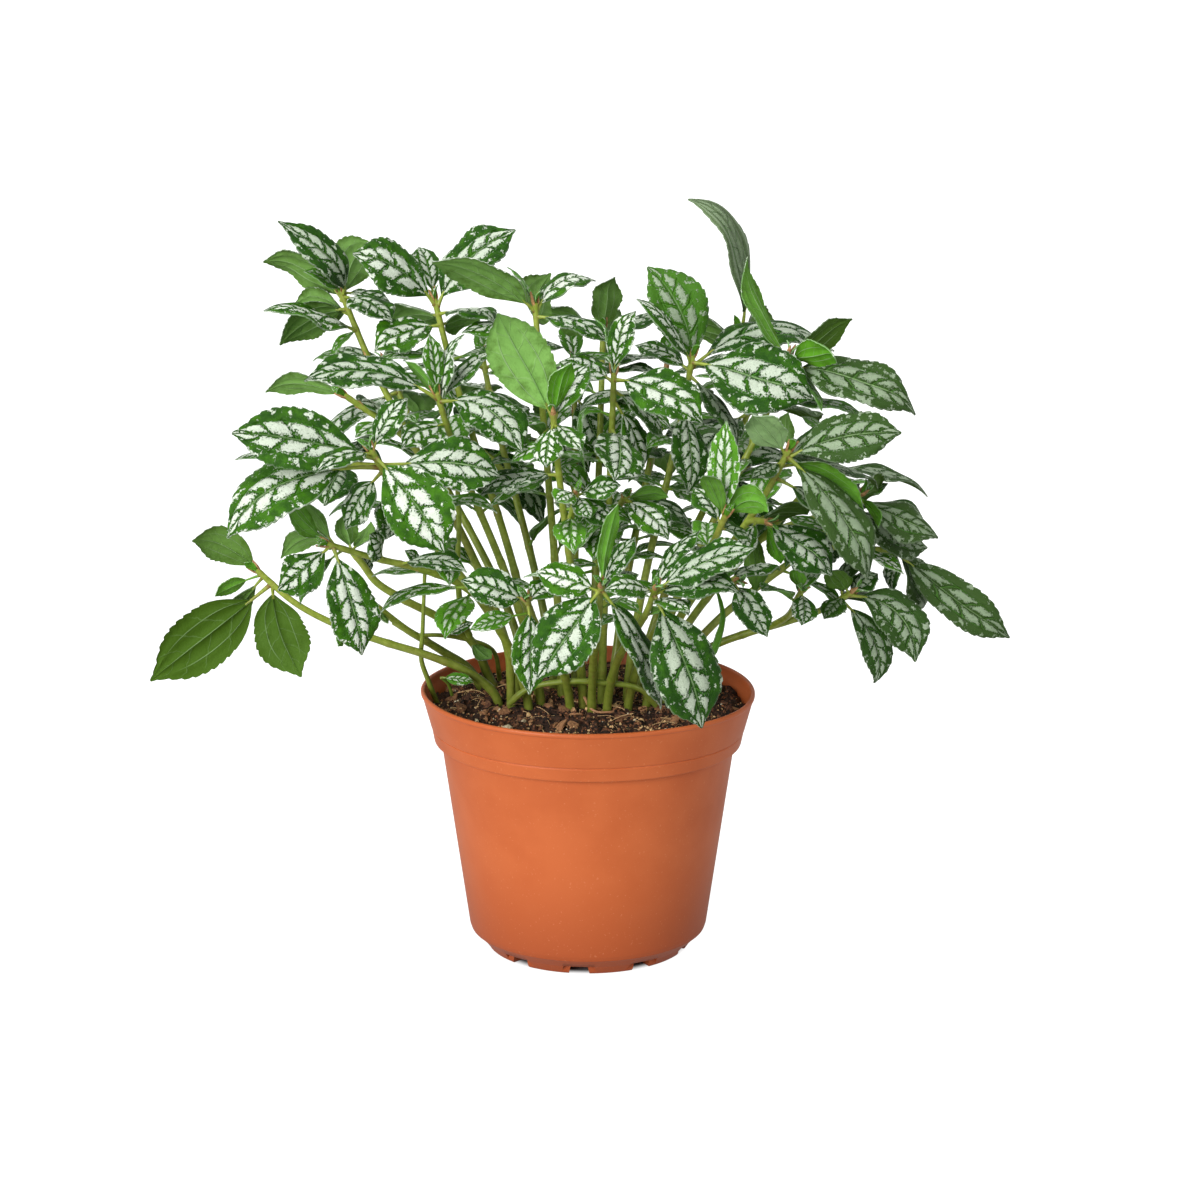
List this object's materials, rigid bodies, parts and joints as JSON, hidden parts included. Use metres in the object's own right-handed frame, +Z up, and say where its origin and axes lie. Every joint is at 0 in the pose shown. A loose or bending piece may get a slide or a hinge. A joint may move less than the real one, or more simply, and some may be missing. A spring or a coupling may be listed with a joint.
{
  "type": "potted plant",
  "caption": "Bushy houseplant with toothed, silver-patterned leaves on leafy stems, growing in soil in a round tapered plastic nursery pot with a rim band.",
  "frame": {"origin": "on the floor under the middle of the pot", "axes": "+Z up along the pot's axis, -Y towards the picture's viewer, +X to the viewer's right"},
  "size_m": [0.3918, 0.2396, 0.3455],
  "materials": {
    "pot_plastic": "satin",
    "potting_soil": "matte",
    "foliage": "satin"
  },
  "bodies": {
    "root": {"pot": "pot_plastic", "soil": "potting_soil", "leafy_stem_back_far_left": "foliage", "leafy_stem_back_far_right": "foliage", "leafy_stem_back_left": "foliage", "leafy_stem_back_middle": "foliage", "leafy_stem_back_middle_right": "foliage", "leafy_stem_back_right": "foliage", "leafy_stem_far_left": "foliage", "leafy_stem_front_left": "foliage", "leafy_stem_front_middle": "foliage", "leafy_stem_front_right": "foliage", "leafy_stem_left_front": "foliage", "leafy_stem_left_low": "foliage", "leafy_stem_middle": "foliage", "leafy_stem_middle_front": "foliage", "leafy_stem_middle_front_right": "foliage", "leafy_stem_middle_left": "foliage", "leafy_stem_middle_right": "foliage", "leafy_stem_right_front": "foliage", "leafy_stem_right_low": "foliage", "leafy_stem_right_middle": "foliage", "leafy_stem_right_upper": "foliage", "leafy_stem_upper_back": "foliage", "leafy_stem_upper_left": "foliage", "leafy_stem_upper_middle": "foliage", "leafy_stem_upper_middle_left": "foliage"}
  },
  "joints": []
}
